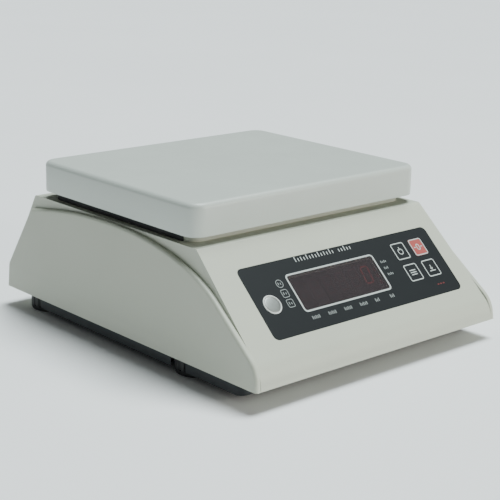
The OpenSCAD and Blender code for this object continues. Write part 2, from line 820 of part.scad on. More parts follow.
module ribbon_cable() {
    color([0.6, 0.6, 0.62]) along_x(20) polygon(strip([[-99, 56.5], [-97, 52], [-93, 46],
        [-88, 39], [-86, 32], [-87, 26], [-88.5, 21.2]], 0.9));
}

module battery() {
    color([0.13, 0.13, 0.15]) {
        translate([-battery_size.x / 2, battery_y, battery_z]) cube(battery_size);
        for (y = [12, 58]) translate([battery_size.x / 2 - 0.5, battery_y + y - 3, battery_z + 38])
            cube([6.5, 6, 0.8]);
    }
}

strap_t = 1.2;
strap_w = 20;

module battery_bracket() {
    outer = battery_size.y + 2 * strap_t + 1;
    foot = 8;
    y0 = battery_y - strap_t - 0.5;
    top = battery_z + battery_size.z;
    color(steel) along_x(strap_w) {
        translate([y0, battery_z]) square([strap_t, top - battery_z + strap_t]);
        translate([y0 + outer - strap_t, battery_z]) square([strap_t, top - battery_z + strap_t]);
        translate([y0, top]) square([outer, strap_t]);
        translate([y0 - foot, battery_z]) square([foot + strap_t, strap_t]);
        translate([y0 + outer - strap_t, battery_z]) square([foot + strap_t, strap_t]);
    }
}

module battery_leads() {
    color([0.6, 0.1, 0.1]) for (lead = [[67, 0, 0], [113, 3, 3.5]])
        wire([[56.5, lead[0], 46], [62, lead[0], 46], [70, lead[0] - 8, 44], [80 + lead[1], 52, 36],
            [83 + lead[1], 30, 26], [80 + lead[1], 0, 22], [70 + lead[1], -30, 21],
            [60, -41 - lead[2], 20], [50.7, -44.5 - lead[2], 20]], 1.2);
}

module charging_socket() {
    color([0.15, 0.15, 0.16]) translate([socket_x, 0, socket_z]) rotate([-90, 0, 0]) difference() {
        union() {
            translate([0, 0, pocket_y]) cylinder(h = 1, r = 6.2);
            translate([0, 0, pocket_y - 14]) cylinder(h = 14.5, r = 4.4);
            translate([0, 0, pocket_y - wall - 2.1]) cylinder(h = 2, r = 6.5, $fn = 6);
        }
        translate([0, 0, pocket_y - 9]) cylinder(h = 12, r = 2.8);
    }
}

bung_pivot_x = socket_x - 10.5;

module socket_bung() {
    color(rubber) translate([0, pocket_y, socket_z]) rotate([-90, 0, 0]) {
        translate([socket_x, 0, 1.15]) cylinder(h = 2.4, r = 6.3);
        translate([bung_pivot_x, -2, 1.35]) cube([10.5, 4, 1.2]);
        translate([socket_x + 5, -2.5, 2]) cube([3.2, 5, 1.3]);
    }
    color(rubber) post(bung_pivot_x, pocket_y + 1, socket_z - 4, socket_z + 4, 0.9);
}

upper_housing();
left_cheek();
right_cheek();
cheek_screws();
base_tray();
housing_gasket();
housing_screws();
panel_overlay();
display_window();
display_board();
led_digits();
indicator_leds();
key_switches();
display_board_screws();
level_ring();
level_vial();
main_board();
board_components();
board_spacers();
board_screws();
ribbon_cable();
battery();
battery_bracket();
battery_leads();
battery_cover();
battery_cover_screws();
cell_frame();
cell_frame_screws();
load_cell();
load_cell_bolts();
load_cell_cable();
overload_stop();
post_seal();
splash_collar();
charging_socket();
foot_inserts();
carrier_plate();
carrier_post();
carrier_bolts();
pan_pads();
weighing_pan();
key_off();
key_on_zero();
key_set();
key_tare();
foot_sole(feet[0]);  // foot_fl_sole
foot_knob(feet[0]);  // foot_fl_knob
foot_stud(feet[0]);  // foot_fl_stud
foot_sole(feet[1]);  // foot_fr_sole
foot_knob(feet[1]);  // foot_fr_knob
foot_stud(feet[1]);  // foot_fr_stud
foot_sole(feet[2]);  // foot_bl_sole
foot_knob(feet[2]);  // foot_bl_knob
foot_stud(feet[2]);  // foot_bl_stud
foot_sole(feet[3]);  // foot_br_sole
foot_knob(feet[3]);  // foot_br_knob
foot_stud(feet[3]);  // foot_br_stud
socket_bung();
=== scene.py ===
import json
import math

import bmesh
import bpy
from mathutils import Matrix, Vector


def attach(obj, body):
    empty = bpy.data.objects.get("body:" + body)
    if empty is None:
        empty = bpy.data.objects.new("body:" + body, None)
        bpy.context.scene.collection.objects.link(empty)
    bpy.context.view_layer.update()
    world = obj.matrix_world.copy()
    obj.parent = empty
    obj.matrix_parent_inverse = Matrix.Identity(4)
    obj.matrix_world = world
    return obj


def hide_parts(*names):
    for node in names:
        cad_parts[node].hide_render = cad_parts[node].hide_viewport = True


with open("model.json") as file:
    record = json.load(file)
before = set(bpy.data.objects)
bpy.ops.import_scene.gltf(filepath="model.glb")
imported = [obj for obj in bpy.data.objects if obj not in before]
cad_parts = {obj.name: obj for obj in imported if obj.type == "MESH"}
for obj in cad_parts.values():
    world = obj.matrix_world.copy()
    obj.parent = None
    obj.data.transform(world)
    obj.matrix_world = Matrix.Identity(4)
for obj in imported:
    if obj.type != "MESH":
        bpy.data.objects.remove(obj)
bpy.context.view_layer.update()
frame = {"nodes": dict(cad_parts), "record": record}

# ---- dimensions, in millimetres, as in the part's own frame ----
MM = 0.001
HALF_D = 152.5
HALF_BODY = 120.5
SIDE_DRAFT = 4.0
TOP_Z = 95.0
RIM_Z = 15.0
SLOPE_ANGLE = 42.9
SLOPE_TOP_Y = -77.5
BACK_KINK_Z = 33.6
OVERLAY_N = 0.1

LIP_ANGLE = 82.0
LIP_R = 22.0

CHEEK_T = 4.5
CHEEK_EDGE_R = 2.4
CHEEK_INNER_R = 0.7
ARCH_Y = 20.0
ARCH_TOP = TOP_Z - 0.5
ARCH_FOOT = (-104.0, 65.8)
ARCH_FOOT_ANGLE = 37.5
ARCH_FOOT_PULL, ARCH_TOP_PULL = 31.0, 50.0
ARCH_BACK_Y = 118.0
ARCH_BACK_DROP = 9.4
ARCH_BACK_POWER = 2.1
ARCH_BACK_SLOPE = -11.4
ARCH_STEPS, ARCH_BACK_STEPS = 40, 12
CHEEK_BACK = (123.0, 84.6)
CHEEK_BACK_R, CHEEK_KINK_R = 6.0, 8.0

PAN_W, PAN_D = 230.0, 190.0
PAN_Y = 20.5
PAN_TOP, PAN_H = 125.0, 24.0
PAN_WALL = 2.5
PAN_CORNER_R = 12.0
PAN_EDGE_R = 4.0
PAN_LIP_R = 0.7
PAN_ARM = (88.0, 68.0)
PAN_SEAT_R, PAN_SEAT_BORE_R, PAN_SEAT_H = 12.0, 9.8, 5.5

DISPLAY_LINE = (-10.8, 50.3, 89.6, 31.8)
KEY_SIZE = (14.3, 15.0)
KEY_COLUMNS = (63.8, 84.1)
KEY_ROWS = (38.0, 57.6)
KEY_TOP_N = 0.2
DIGIT_X0, DIGIT_PITCH, DIGIT_S = -45.0, 13.2, 48.8
DIGIT_W, DIGIT_H, DIGIT_SLANT = 8.3, 15.2, 0.13
DIGIT_COUNT, DIGIT_STROKE = 6, 1.25
DIGIT_N = -3.2
PRINT_T = 0.05
TITLE_S, TITLE_PITCH, TITLE_STROKE = 26.6, 2.9, 0.8
UNIT_X, UNIT_S, UNIT_PITCH = -52.0, 72.6, 16.0
MODE_X, MODE_S, MODE_PITCH = -63.5, 40.0, 8.2
STATE_X, STATE_S, STATE_PITCH = 38.6, 43.8, 5.5
FINE_PITCH, FINE_STROKE = 1.6, 0.7
LEVEL = (-79.3, 54.0)
VIAL_R = 6.3
LEVEL_RING_R = 7.6
LEVEL_GAP = 0.12

# ---- camera, in degrees and metres: where the reference view is taken from ----
VIEW_AZIMUTH = -42.11
VIEW_ELEVATION = 15.75
VIEW_ROLL = 1.27
VIEW_DISTANCE = 1.0665
VIEW_TARGET = (0.0233, 0.0206, 0.0488)
LENS = 94.18
FLOOR_HALF = 4.0


# ---- materials ----
def node_material(name):
    mat = bpy.data.materials.new(name)
    mat.use_nodes = True
    tree = mat.node_tree
    return mat, tree, tree.nodes["Principled BSDF"]


def add(tree, kind, **sockets):
    node = tree.nodes.new(kind)
    for key, value in sockets.items():
        node.inputs[key].default_value = value
    return node


def object_noise(tree, scale, detail=3.0, stretch=None):
    """Noise in the piece's own space, so that it moves with the piece."""
    coords = tree.nodes.new("ShaderNodeTexCoord")
    noise = add(tree, "ShaderNodeTexNoise", Scale=scale, Detail=detail)
    source = coords.outputs["Object"]
    if stretch:
        mapping = add(tree, "ShaderNodeMapping", Scale=stretch)
        tree.links.new(source, mapping.inputs["Vector"])
        source = mapping.outputs["Vector"]
    tree.links.new(source, noise.inputs["Vector"])
    return noise


def tinted(tree, color, noise, spread):
    """A colour ramp from slightly darker to slightly lighter than color, driven by noise."""
    ramp = tree.nodes.new("ShaderNodeValToRGB")
    ramp.color_ramp.elements[0].position = 0.3
    ramp.color_ramp.elements[1].position = 0.7
    ramp.color_ramp.elements[0].color = [c * (1 - spread) for c in color] + [1]
    ramp.color_ramp.elements[1].color = [min(1, c * (1 + spread)) for c in color] + [1]
    tree.links.new(noise.outputs["Fac"], ramp.inputs["Fac"])
    return ramp.outputs["Color"]


def mixed(tree, kind, factor, a, b):
    mix = tree.nodes.new("ShaderNodeMix")
    mix.data_type = "RGBA"
    mix.blend_type = kind
    if isinstance(factor, float):
        mix.inputs["Factor"].default_value = factor
    else:
        tree.links.new(factor, mix.inputs["Factor"])
    for value, socket in ((a, mix.inputs["A"]), (b, mix.inputs["B"])):
        if isinstance(value, tuple):
            socket.default_value = (*value, 1)
        else:
            tree.links.new(value, socket)
    return mix.outputs["Result"]


def ranged(tree, noise, low, high):
    scaled = add(tree, "ShaderNodeMapRange")
    scaled.inputs["To Min"].default_value = low
    scaled.inputs["To Max"].default_value = high
    tree.links.new(noise.outputs["Fac"], scaled.inputs["Value"])
    return scaled.outputs["Result"]


def bumped(tree, shader, noise, strength, distance):
    bump = add(tree, "ShaderNodeBump", Strength=strength, Distance=distance)
    tree.links.new(noise.outputs["Fac"], bump.inputs["Height"])
    tree.links.new(bump.outputs["Normal"], shader.inputs["Normal"])


def worn_edges(tree, base, color, amount):
    """Lightens convex edges, where handling rubs the surface."""
    geometry = tree.nodes.new("ShaderNodeNewGeometry")
    ramp = tree.nodes.new("ShaderNodeValToRGB")
    ramp.color_ramp.elements[0].position = 0.52
    ramp.color_ramp.elements[1].position = 0.60
    ramp.color_ramp.elements[0].color = (0, 0, 0, 1)
    ramp.color_ramp.elements[1].color = (amount, amount, amount, 1)
    tree.links.new(geometry.outputs["Pointiness"], ramp.inputs["Fac"])
    return mixed(tree, "MIX", ramp.outputs["Color"], base, color)


def moulded_plastic(name, color, roughness, grain=0.12, spread=0.02, worn=0.0, coat=0.0,
                    specular=0.5):
    """Injection-moulded plastic: fine spark-eroded grain, faint tone drift and uneven gloss."""
    mat, tree, shader = node_material(name)
    base = tinted(tree, color, object_noise(tree, 14.0, 4.0), spread)
    speckle = tinted(tree, (1, 1, 1), object_noise(tree, 900.0, 2.0), 0.012)
    base = mixed(tree, "MULTIPLY", 1.0, base, speckle)
    if worn:
        base = worn_edges(tree, base, tuple(min(1, c * 1.25 + 0.05) for c in color), worn)
    tree.links.new(base, shader.inputs["Base Color"])
    gloss = ranged(tree, object_noise(tree, 60.0, 5.0), roughness - 0.05, roughness + 0.06)
    tree.links.new(gloss, shader.inputs["Roughness"])
    bumped(tree, shader, object_noise(tree, 2600.0, 2.0), grain, 0.0001)
    shader.inputs["IOR"].default_value = 1.5
    shader.inputs["Specular IOR Level"].default_value = specular
    shader.inputs["Coat Weight"].default_value = coat
    shader.inputs["Coat Roughness"].default_value = 0.25
    return mat


def dark_film(name):
    """The charcoal film of the panel and its keys, which reflects less than a moulding."""
    return moulded_plastic(name, (0.009, 0.011, 0.0125), 0.55, 0.05, 0.05, specular=0.22)


def metal(name, color, roughness, stretch=(1, 1, 12)):
    mat, tree, shader = node_material(name)
    tree.links.new(tinted(tree, color, object_noise(tree, 220.0, 4.0, stretch), 0.08),
                   shader.inputs["Base Color"])
    gloss = ranged(tree, object_noise(tree, 500.0, 4.0, stretch), roughness - 0.08, roughness + 0.1)
    tree.links.new(gloss, shader.inputs["Roughness"])
    bumped(tree, shader, object_noise(tree, 900.0, 3.0, stretch), 0.08, 0.0001)
    shader.inputs["Metallic"].default_value = 1.0
    return mat


def rubber(name):
    mat, tree, shader = node_material(name)
    tree.links.new(tinted(tree, (0.028, 0.028, 0.029), object_noise(tree, 180.0, 4.0), 0.25),
                   shader.inputs["Base Color"])
    tree.links.new(ranged(tree, object_noise(tree, 90.0), 0.72, 0.9), shader.inputs["Roughness"])
    bumped(tree, shader, object_noise(tree, 1500.0), 0.25, 0.0002)
    return mat


def circuit_board(name):
    mat, tree, shader = node_material(name)
    coords = tree.nodes.new("ShaderNodeTexCoord")
    tracks = add(tree, "ShaderNodeTexVoronoi", Scale=260.0)
    tracks.feature = "DISTANCE_TO_EDGE"
    tree.links.new(coords.outputs["Object"], tracks.inputs["Vector"])
    ramp = tree.nodes.new("ShaderNodeValToRGB")
    ramp.color_ramp.elements[0].position = 0.02
    ramp.color_ramp.elements[1].position = 0.05
    ramp.color_ramp.elements[0].color = (0.06, 0.26, 0.12, 1)
    ramp.color_ramp.elements[1].color = (0.02, 0.14, 0.06, 1)
    tree.links.new(tracks.outputs["Distance"], ramp.inputs["Fac"])
    tree.links.new(ramp.outputs["Color"], shader.inputs["Base Color"])
    tree.links.new(ranged(tree, object_noise(tree, 120.0), 0.25, 0.4), shader.inputs["Roughness"])
    return mat


def smoked_lens(name):
    mat, tree, shader = node_material(name)
    tree.links.new(tinted(tree, (0.20, 0.17, 0.18), object_noise(tree, 30.0), 0.05),
                   shader.inputs["Base Color"])
    tree.links.new(ranged(tree, object_noise(tree, 40.0), 0.10, 0.2), shader.inputs["Roughness"])
    shader.inputs["Transmission Weight"].default_value = 0.82
    shader.inputs["IOR"].default_value = 1.2
    return mat


def glowing(name, color, strength):
    mat, tree, shader = node_material(name)
    hue = tinted(tree, color, object_noise(tree, 700.0), 0.15)
    tree.links.new(hue, shader.inputs["Base Color"])
    tree.links.new(hue, shader.inputs["Emission Color"])
    shader.inputs["Emission Strength"].default_value = strength
    shader.inputs["Roughness"].default_value = 0.4
    return mat


def printed_ink(name, color):
    """Screen-printed ink: slightly uneven cover over the film below."""
    mat, tree, shader = node_material(name)
    tree.links.new(tinted(tree, color, object_noise(tree, 1200.0, 4.0), 0.06),
                   shader.inputs["Base Color"])
    tree.links.new(ranged(tree, object_noise(tree, 300.0), 0.4, 0.55), shader.inputs["Roughness"])
    bumped(tree, shader, object_noise(tree, 1600.0), 0.15, 0.00005)
    return mat


MATERIALS = {
    "housing": moulded_plastic("housing_abs", (0.53, 0.55, 0.455), 0.46, worn=0.25),
    "pan": moulded_plastic("pan_abs", (0.545, 0.585, 0.535), 0.42, worn=0.2),
    "tray": moulded_plastic("tray_abs", (0.020, 0.024, 0.028), 0.5, worn=0.3, specular=0.3),
    "panel": dark_film("panel_film"),
    "window": smoked_lens("smoked_lens"),
    "key_dark": dark_film("key_film"),
    "key_red": moulded_plastic("key_film_red", (0.40, 0.075, 0.065), 0.45, 0.05, 0.05),
    "white_plastic": moulded_plastic("white_plastic", (0.70, 0.72, 0.68), 0.4),
    "vial": metal("vial_silver", (0.30, 0.315, 0.30), 0.5, None),
    # Black rubber. On the splash collar under the pan's sides and back this black is painted shade,
    # standing in for the shadow in the gap.
    "rubber": rubber("black_rubber_and_painted_shade"),
    "black_plastic": moulded_plastic("black_nylon", (0.022, 0.022, 0.023), 0.5, worn=0.2),
    "circuit_board": circuit_board("solder_mask"),
    "led_modules": moulded_plastic("module_face", (0.035, 0.022, 0.022), 0.3, 0.04, 0.2),
    "lamps": glowing("lamp_red", (0.5, 0.05, 0.04), 0.15),
    "ribbon": moulded_plastic("ribbon_pvc", (0.36, 0.36, 0.37), 0.5),
    "battery_case": moulded_plastic("battery_abs", (0.03, 0.03, 0.035), 0.45),
    "zinc_steel": metal("zinc_steel", (0.62, 0.64, 0.66), 0.38),
    "screws": metal("zinc_screws", (0.60, 0.61, 0.63), 0.32),
    "brass": metal("brass", (0.70, 0.50, 0.20), 0.33),
    "cast_aluminium": metal("cast_aluminium", (0.55, 0.57, 0.59), 0.5, None),
    "cell_aluminium": metal("milled_aluminium", (0.68, 0.69, 0.71), 0.3),
    "lead_wire": moulded_plastic("lead_pvc", (0.35, 0.02, 0.02), 0.45),
    "cable_jacket": moulded_plastic("cable_pvc", (0.12, 0.125, 0.13), 0.5),
}
INK_WHITE = printed_ink("white_ink", (0.50, 0.54, 0.52))
INK_GREY = printed_ink("grey_ink", (0.30, 0.33, 0.32))
INK_RED = printed_ink("red_ink", (0.14, 0.018, 0.018))
SEGMENT_ON = glowing("segment_lit", (0.8, 0.06, 0.05), 0.5)
# The unlit segments glow faintly too: a painted glow, since these segments are switched off.
SEGMENT_OFF_PAINTED_GLOW = glowing("segment_unlit_painted_glow", (0.16, 0.035, 0.03), 0.12)


# ---- mesh helpers ----
def finish_piece(name, bm, material, body, smooth_angle=35.0, replaces=()):
    mesh = bpy.data.meshes.new(name)
    bmesh.ops.recalc_face_normals(bm, faces=bm.faces)
    bm.to_mesh(mesh)
    bm.free()
    mesh.shade_smooth()
    mesh.set_sharp_from_angle(angle=math.radians(smooth_angle))
    piece = bpy.data.objects.new(name, mesh)
    bpy.context.scene.collection.objects.link(piece)
    mesh.materials.append(material)
    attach(piece, body)
    if replaces:
        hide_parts(*replaces)
    return piece


def arc(centre, r, a0, a1, n=6):
    angles = [math.radians(a0 + (a1 - a0) * i / n) for i in range(n + 1)]
    return [(centre[0] + r * math.cos(a), centre[1] + r * math.sin(a)) for a in angles]


def circle(r, n):
    return arc((0, 0), r, 0, 360 - 360 / n, n - 1)


def corner(k, a0, a1, r, n=6):
    """A rounded corner at k, between an edge running in direction a0 and one running in a1."""
    run = r * math.tan(math.radians(a0 - a1) / 2)
    u = (math.cos(math.radians(a0)), math.sin(math.radians(a0)))
    centre = (k[0] - run * u[0] + r * u[1], k[1] - run * u[1] - r * u[0])
    return arc(centre, r, a0 + 90, a1 + 90, n)


def inset(points, d):
    """A clockwise outline moved inward by d."""
    moved = []
    for i, b in enumerate(points):
        b = Vector(b)
        u = (b - Vector(points[i - 1])).normalized()
        v = (Vector(points[(i + 1) % len(points)]) - b).normalized()
        nu, nv = Vector((u.y, -u.x)), Vector((v.y, -v.x))
        moved.append(b + d * (nu + nv) / (1 + nu.dot(nv)))
    return moved


def round_rect(w, h, r, n=8):
    """A clockwise rounded rectangle about the origin."""
    x, y = w / 2 - r, h / 2 - r
    return (arc((-x, y), r, 180, 90, n) + arc((x, y), r, 90, 0, n)
            + arc((x, -y), r, 0, -90, n) + arc((-x, -y), r, -90, -180, n))


def loft(bm, rings, closed_path=False):
    """Joins rings of equal length into a skin; an open path is capped at both ends."""
    loops = [[bm.verts.new(Vector(p) * MM) for p in ring] for ring in rings]
    pairs = list(zip(loops, loops[1:]))
    if closed_path:
        pairs.append((loops[-1], loops[0]))
    for a, b in pairs:
        for i in range(len(a)):
            j = (i + 1) % len(a)
            bm.faces.new((a[i], a[j], b[j], b[i]))
    if not closed_path:
        bm.faces.new(loops[0])
        bm.faces.new(reversed(loops[-1]))


SLOPE = (Matrix.Translation((0, SLOPE_TOP_Y, TOP_Z))
         @ Matrix.Rotation(math.radians(SLOPE_ANGLE), 4, "X"))


def on_slope(x, s, n):
    """A point at x across the slope, s down it from its top edge, and n above its surface."""
    return SLOPE @ Vector((x, -s, n))


def plate(bm, outline, x, s, n, thickness, hole=None):
    """A thin flat shape on the slope; hole is an inner outline with as many points."""
    low = [on_slope(x + p[0], s - p[1], n) for p in outline]
    high = [on_slope(x + p[0], s - p[1], n + thickness) for p in outline]
    if not hole:
        loft(bm, [low, high])
        return
    inner_low = [on_slope(x + p[0], s - p[1], n) for p in hole]
    inner_high = [on_slope(x + p[0], s - p[1], n + thickness) for p in hole]
    loft(bm, [low, high, inner_high, inner_low], closed_path=True)


def refined(node, width, slot, body="root", segments=3, angle=28.0):
    """The CAD node's own shape with its sharp edges rounded, as a piece that replaces it."""
    bm = bmesh.new()
    bm.from_mesh(frame["nodes"][node].data)
    bmesh.ops.remove_doubles(bm, verts=bm.verts, dist=2e-6)
    bmesh.ops.dissolve_limit(bm, angle_limit=math.radians(0.6), verts=bm.verts, edges=bm.edges)
    sharp = [e for e in bm.edges if len(e.link_faces) == 2
             and e.calc_face_angle(0) > math.radians(angle)]
    bmesh.ops.bevel(bm, geom=sharp, offset=width * MM, offset_type="OFFSET", segments=segments,
                    profile=0.5, affect="EDGES", clamp_overlap=True)
    bmesh.ops.remove_doubles(bm, verts=bm.verts, dist=1e-7)
    piece = finish_piece(node + "_skin", bm, MATERIALS[slot], body, 32.0, (node,))
    smooth = piece.modifiers.new("flat_faces", "WEIGHTED_NORMAL")
    smooth.keep_sharp = True
    return piece


# ---- the object's pieces ----
def cheek_outline():
    """Side view of a cheek, in Y and Z, clockwise from the foot of the front lip."""
    foot = Vector((-HALF_D, RIM_Z))
    start = Vector(ARCH_FOOT)
    lip = Vector((math.cos(math.radians(LIP_ANGLE)), math.sin(math.radians(LIP_ANGLE))))
    rise = Vector((math.cos(math.radians(ARCH_FOOT_ANGLE)), math.sin(math.radians(ARCH_FOOT_ANGLE))))
    across = Vector((-rise.y, rise.x))
    meet = foot + lip * ((start - foot).dot(across) / lip.dot(across))
    points = [tuple(foot)] + corner(meet, LIP_ANGLE, ARCH_FOOT_ANGLE, LIP_R, 12)
    curve = (start, start + rise * ARCH_FOOT_PULL, Vector((ARCH_Y - ARCH_TOP_PULL, ARCH_TOP)),
             Vector((ARCH_Y, ARCH_TOP)))
    for i in range(ARCH_STEPS + 1):
        t = i / ARCH_STEPS
        p = ((1 - t) ** 3 * curve[0] + 3 * (1 - t) ** 2 * t * curve[1]
             + 3 * (1 - t) * t * t * curve[2] + t ** 3 * curve[3])
        points.append(tuple(p))
    for i in range(1, ARCH_BACK_STEPS - 1):
        points.append((ARCH_Y + (ARCH_BACK_Y - ARCH_Y) * i / ARCH_BACK_STEPS,
                       ARCH_TOP - ARCH_BACK_DROP * (i / ARCH_BACK_STEPS) ** ARCH_BACK_POWER))
    back = math.degrees(math.atan2(CHEEK_BACK[1] - BACK_KINK_Z, HALF_D - CHEEK_BACK[0]))
    points += corner(CHEEK_BACK, ARCH_BACK_SLOPE, -back, CHEEK_BACK_R, 8)
    points += corner((HALF_D, BACK_KINK_Z), -back, -90, CHEEK_KINK_R, 8)
    points.append((HALF_D, RIM_Z))
    return points


def cheek(side, node):
    """A side slab with a rounded outer rim, leaning inward; its bottom edge stays level."""
    outline = cheek_outline()
    sections = [(0.02 + CHEEK_INNER_R * (1 - math.cos(math.radians(a))),
                 CHEEK_INNER_R * (1 - math.sin(math.radians(a)))) for a in (0, 30, 60, 90)]
    sections += [(CHEEK_T - CHEEK_EDGE_R * (1 - math.sin(math.radians(a))),
                  CHEEK_EDGE_R * (1 - math.cos(math.radians(a)))) for a in range(0, 91, 10)]
    draft = math.radians(SIDE_DRAFT)
    rings = []
    for out, d in sections:
        ring = []
        points = inset(outline, d)
        for p in points:
            up = p.y - RIM_Z
            z = RIM_Z + up * math.cos(draft) + out * math.sin(draft)
            if p is points[0] or p is points[-1]:
                z = RIM_Z
            x = HALF_BODY + out / math.cos(draft) - (z - RIM_Z) * math.tan(draft)
            ring.append((side * x, p.x, z))
        rings.append(ring)
    bm = bmesh.new()
    loft(bm, rings)
    return finish_piece(node + "_skin", bm, MATERIALS["housing"], "root", 35.0, (node,))


def weighing_pan():
    """Inverted tray: rounded corners and top edge, a thin rolled lip, and seats for the pads."""
    bottom = PAN_TOP - PAN_H
    section = [(PAN_WALL, PAN_TOP - PAN_WALL), (PAN_WALL, bottom + PAN_LIP_R)]
    section += [(PAN_WALL - PAN_LIP_R * math.sin(math.radians(a)),
                 bottom + PAN_LIP_R * (1 - math.sin(math.radians(a)))) for a in (45, 90)]
    section += [(PAN_LIP_R * (1 - math.sin(math.radians(a))),
                 bottom + PAN_LIP_R * (1 - math.cos(math.radians(a)))) for a in (0, 45, 90)]
    section += [(PAN_EDGE_R * (1 - math.cos(math.radians(a))),
                 PAN_TOP - PAN_EDGE_R * (1 - math.sin(math.radians(a)))) for a in range(0, 91, 10)]
    section.append((PAN_EDGE_R + 3, PAN_TOP))
    rings = []
    for d, z in section:
        outline = round_rect(PAN_W - 2 * d, PAN_D - 2 * d, max(PAN_CORNER_R - d, 1.5), 12)
        rings.append([(p[0], PAN_Y + p[1], z) for p in outline])
    bm = bmesh.new()
    loft(bm, rings)
    for sx in (-1, 1):
        for sy in (-1, 1):
            tube(bm, sx * PAN_ARM[0], PAN_Y + sy * PAN_ARM[1], PAN_TOP - PAN_WALL - PAN_SEAT_H,
                 PAN_TOP - PAN_WALL, PAN_SEAT_R, PAN_SEAT_BORE_R)
    return finish_piece("weighing_pan_skin", bm, MATERIALS["pan"], "pan", 32.0,
                        ("weighing_pan",))


def tube(bm, x, y, z0, z1, outer, inner, n=40):
    """An upright ring with the given outer and inner radius."""
    rings = []
    for r, z in ((outer, z0), (outer, z1), (inner, z1), (inner, z0)):
        rings.append([(x + p[0], y + p[1], z) for p in circle(r, n)])
    loft(bm, rings, closed_path=True)


def outline_mark(bm, x, s, w, h, r, stroke, n):
    plate(bm, round_rect(w, h, r), x, s, n, PRINT_T,
          round_rect(w - 2 * stroke, h - 2 * stroke, max(r - stroke, 0.2)))


def bar_mark(bm, x, s, w, h, n, r=None):
    plate(bm, round_rect(w, h, r or min(w, h) * 0.3, 3), x, s, n, PRINT_T)


def tick_group(bm, x, s, count, pitch, width, heights, n):
    """A short row of upright ticks of differing heights, standing where a word would be."""
    for i in range(count):
        h = heights[i % len(heights)]
        bar_mark(bm, x + pitch * i, s - h / 2, width, h, n)


def panel_print():
    """White print on the overlay: the display's frame and plain rows of ticks."""
    bm = bmesh.new()
    n = OVERLAY_N
    outline_mark(bm, *DISPLAY_LINE, 3.2, 1.3, n)
    tick_group(bm, -38.2, TITLE_S, 14, TITLE_PITCH, TITLE_STROKE, (4.2, 2.6, 3.2, 2.6), n)
    tick_group(bm, 6.0, TITLE_S, 5, TITLE_PITCH, TITLE_STROKE, (2.6, 2.6, 4.2), n)
    return finish_piece("panel_print", bm, INK_WHITE, "root")


def panel_fine_print():
    """The smaller, fainter marks: units below the display and states at its two sides."""
    bm = bmesh.new()
    n = OVERLAY_N
    for i in range(6):
        tick_group(bm, UNIT_X + UNIT_PITCH * i, UNIT_S, 5 if i < 4 else 3, FINE_PITCH, FINE_STROKE,
                   (2.8, 2.1, 2.8, 2.3), n)
    for i in range(3):
        s = MODE_S + MODE_PITCH * i
        outline_mark(bm, MODE_X, s, 6.2, 6.6, 1.5 if i else 3, 0.45, n)
        tick_group(bm, MODE_X - 1.1, s + 1, 2, 2.0, 0.6, (2.2, 1.6), n)
        tick_group(bm, STATE_X, STATE_S + STATE_PITCH * i, 4 - i % 2, FINE_PITCH, FINE_STROKE,
                   (2.1, 1.6), n)
    return finish_piece("panel_fine_print", bm, INK_GREY, "root")


def red_mark():
    """Three short red bars at the panel's lower right."""
    bm = bmesh.new()
    for i in range(3):
        bar_mark(bm, 81 + 3 * i, 72.3, 2, 1.1, OVERLAY_N)
    return finish_piece("panel_red_print", bm, INK_RED, "root")


def key_legend(bm, name, x, s, n):
    """A plain sign for each key: a ring and stroke, a zero, bars, and an arrow onto a line."""
    if name == "key_off":
        outline_mark(bm, x, s + 0.4, 5.4, 5.4, 2.6, 0.7, n)
        bar_mark(bm, x, s - 2.2, 0.8, 3, n)
    elif name == "key_on_zero":
        outline_mark(bm, x, s, 3.6, 5.6, 1.7, 0.8, n)
        bar_mark(bm, x - 3.6, s, 2, 0.8, n)
        bar_mark(bm, x + 3.6, s, 2, 0.8, n)
    elif name == "key_set":
        for i in (-1, 0, 1):
            bar_mark(bm, x, s + 1.9 * i, 6.4, 0.8, n)
    else:
        bar_mark(bm, x, s + 2.6, 6.4, 0.8, n)
        bar_mark(bm, x, s - 0.8, 0.8, 3.6, n)
        plate(bm, [(-1.6, 0.6), (1.6, 0.6), (0, -1.4)], x, s + 0.6, n, PRINT_T)


def key_prints():
    for col, row, name in ((0, 0, "key_off"), (1, 0, "key_on_zero"), (0, 1, "key_set"), (1, 1, "key_tare")):
        x, s = KEY_COLUMNS[col], KEY_ROWS[row]
        bm = bmesh.new()
        outline_mark(bm, x, s, KEY_SIZE[0] - 0.3, KEY_SIZE[1] - 0.3, 1.8, 0.85, KEY_TOP_N)
        key_legend(bm, name, x, s, KEY_TOP_N)
        finish_piece(name + "_print", bm, INK_WHITE, name)


def segment(bm, cx, cs, horizontal, length, width):
    """One six-sided segment of a numeral, leaning to the right."""
    half, w = length / 2, width / 2
    outline = [(-half, 0), (-half + w, w), (half - w, w), (half, 0), (half - w, -w), (-half + w, -w)]
    if not horizontal:
        outline = [(p[1], p[0]) for p in reversed(outline)]
    points = [(cx + p[0], cs - p[1]) for p in outline]
    points = [(x + (DIGIT_S - s) * DIGIT_SLANT, s) for x, s in points]
    low = [on_slope(x, s, DIGIT_N) for x, s in points]
    high = [on_slope(x, s, DIGIT_N + PRINT_T) for x, s in points]
    loft(bm, [low, high])


def digit(bm_on, bm_off, index, lit):
    """A seven-segment numeral; lit names its glowing segments, a to g."""
    x = DIGIT_X0 + DIGIT_PITCH * index
    w, h, stroke = DIGIT_W, DIGIT_H, DIGIT_STROKE
    half_h = h / 2
    places = {
        "a": (x, DIGIT_S - half_h + stroke / 2, True), "d": (x, DIGIT_S + half_h - stroke / 2, True),
        "g": (x, DIGIT_S, True),
        "b": (x + w / 2 - stroke / 2, DIGIT_S - half_h / 2 + 0.3, False),
        "c": (x + w / 2 - stroke / 2, DIGIT_S + half_h / 2 - 0.3, False),
        "f": (x - w / 2 + stroke / 2, DIGIT_S - half_h / 2 + 0.3, False),
        "e": (x - w / 2 + stroke / 2, DIGIT_S + half_h / 2 - 0.3, False),
    }
    for name, (cx, cs, horizontal) in places.items():
        length = w - stroke - 0.4 if horizontal else half_h - stroke - 0.2
        segment(bm_on if name in lit else bm_off, cx, cs, horizontal, length, stroke)


